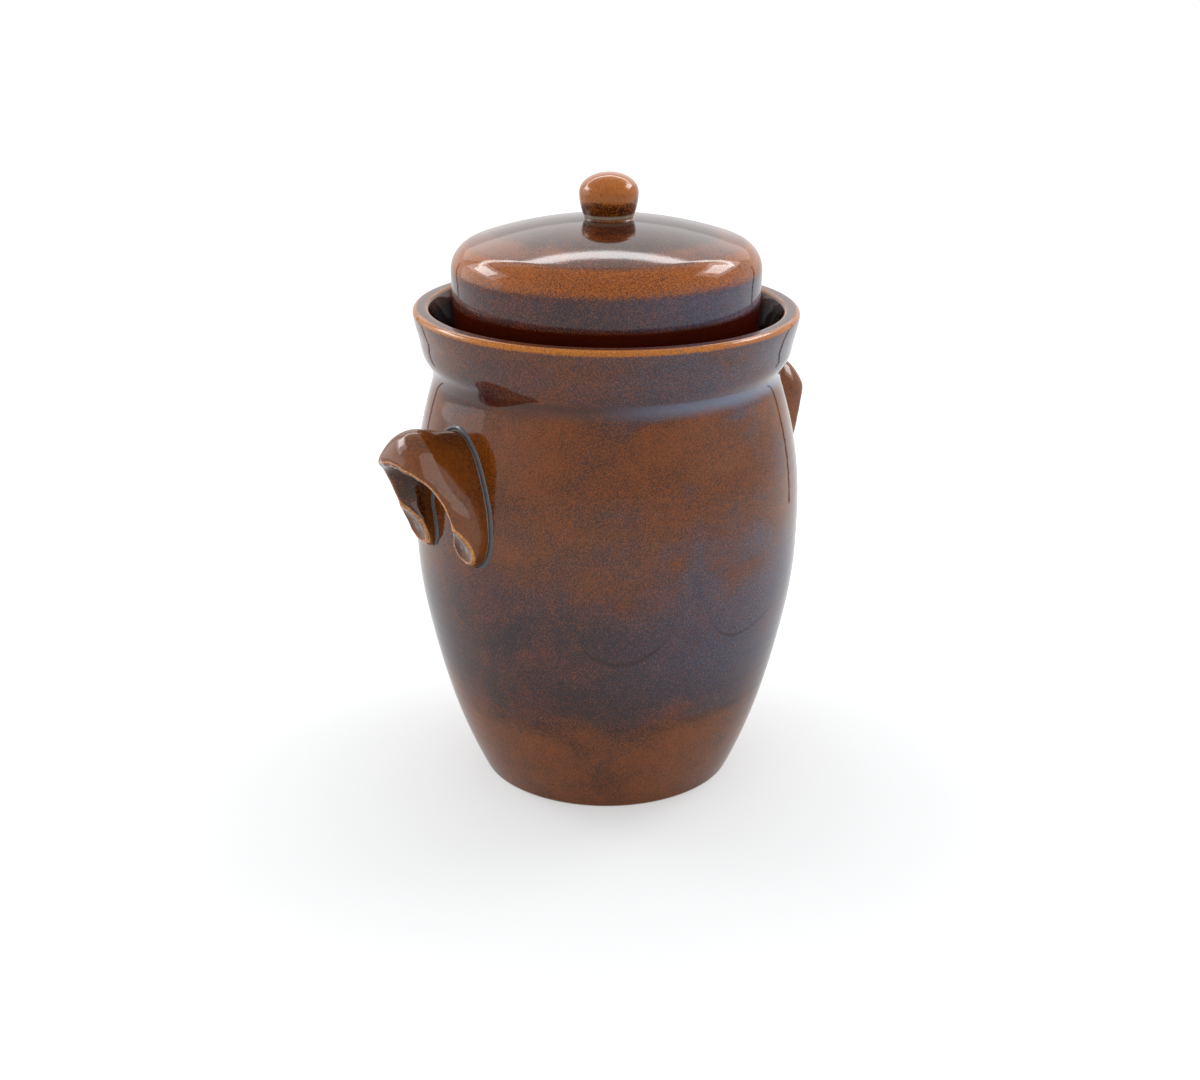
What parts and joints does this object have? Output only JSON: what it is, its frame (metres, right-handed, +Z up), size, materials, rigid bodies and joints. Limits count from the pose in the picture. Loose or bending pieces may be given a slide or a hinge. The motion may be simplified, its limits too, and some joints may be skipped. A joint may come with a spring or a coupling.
{
  "type": "rumtopf pot",
  "caption": "Round-bellied glazed stoneware crock with ear handles, a water channel round the neck, a domed lid with a knob, and loose weight stones inside.",
  "frame": {"origin": "middle of the flat foot, on the surface that the pot stands on", "axes": "+Z up along the pot's axis, X through the two handles, Y across them"},
  "size_m": [0.2686, 0.2046, 0.3227],
  "materials": {
    "brown_glaze": "glossy",
    "lid_glaze": "glossy",
    "honey_glaze": "glossy",
    "bare_stoneware": "matt"
  },
  "bodies": {
    "crock": {"crock_body": "brown_glaze", "water_channel_collar": "brown_glaze", "left_handle": "honey_glaze", "right_handle": "honey_glaze"},
    "lid": {"lid_shell": "lid_glaze", "lid_knob": "honey_glaze"},
    "left_stone": {"left_weight_stone": "bare_stoneware"},
    "right_stone": {"right_weight_stone": "bare_stoneware"}
  },
  "joints": [
    {"name": "lid_lift", "type": "slide", "parent": "crock", "child": "lid", "axis": [0, 0, 1], "range_m": [0, 0.12]},
    {"name": "left_stone_lift", "type": "slide", "parent": "crock", "child": "left_stone", "axis": [0, 0, 1], "range_m": [0, 0.235]},
    {"name": "right_stone_lift", "type": "slide", "parent": "crock", "child": "right_stone", "axis": [0, 0, 1], "range_m": [0, 0.235]}
  ]
}
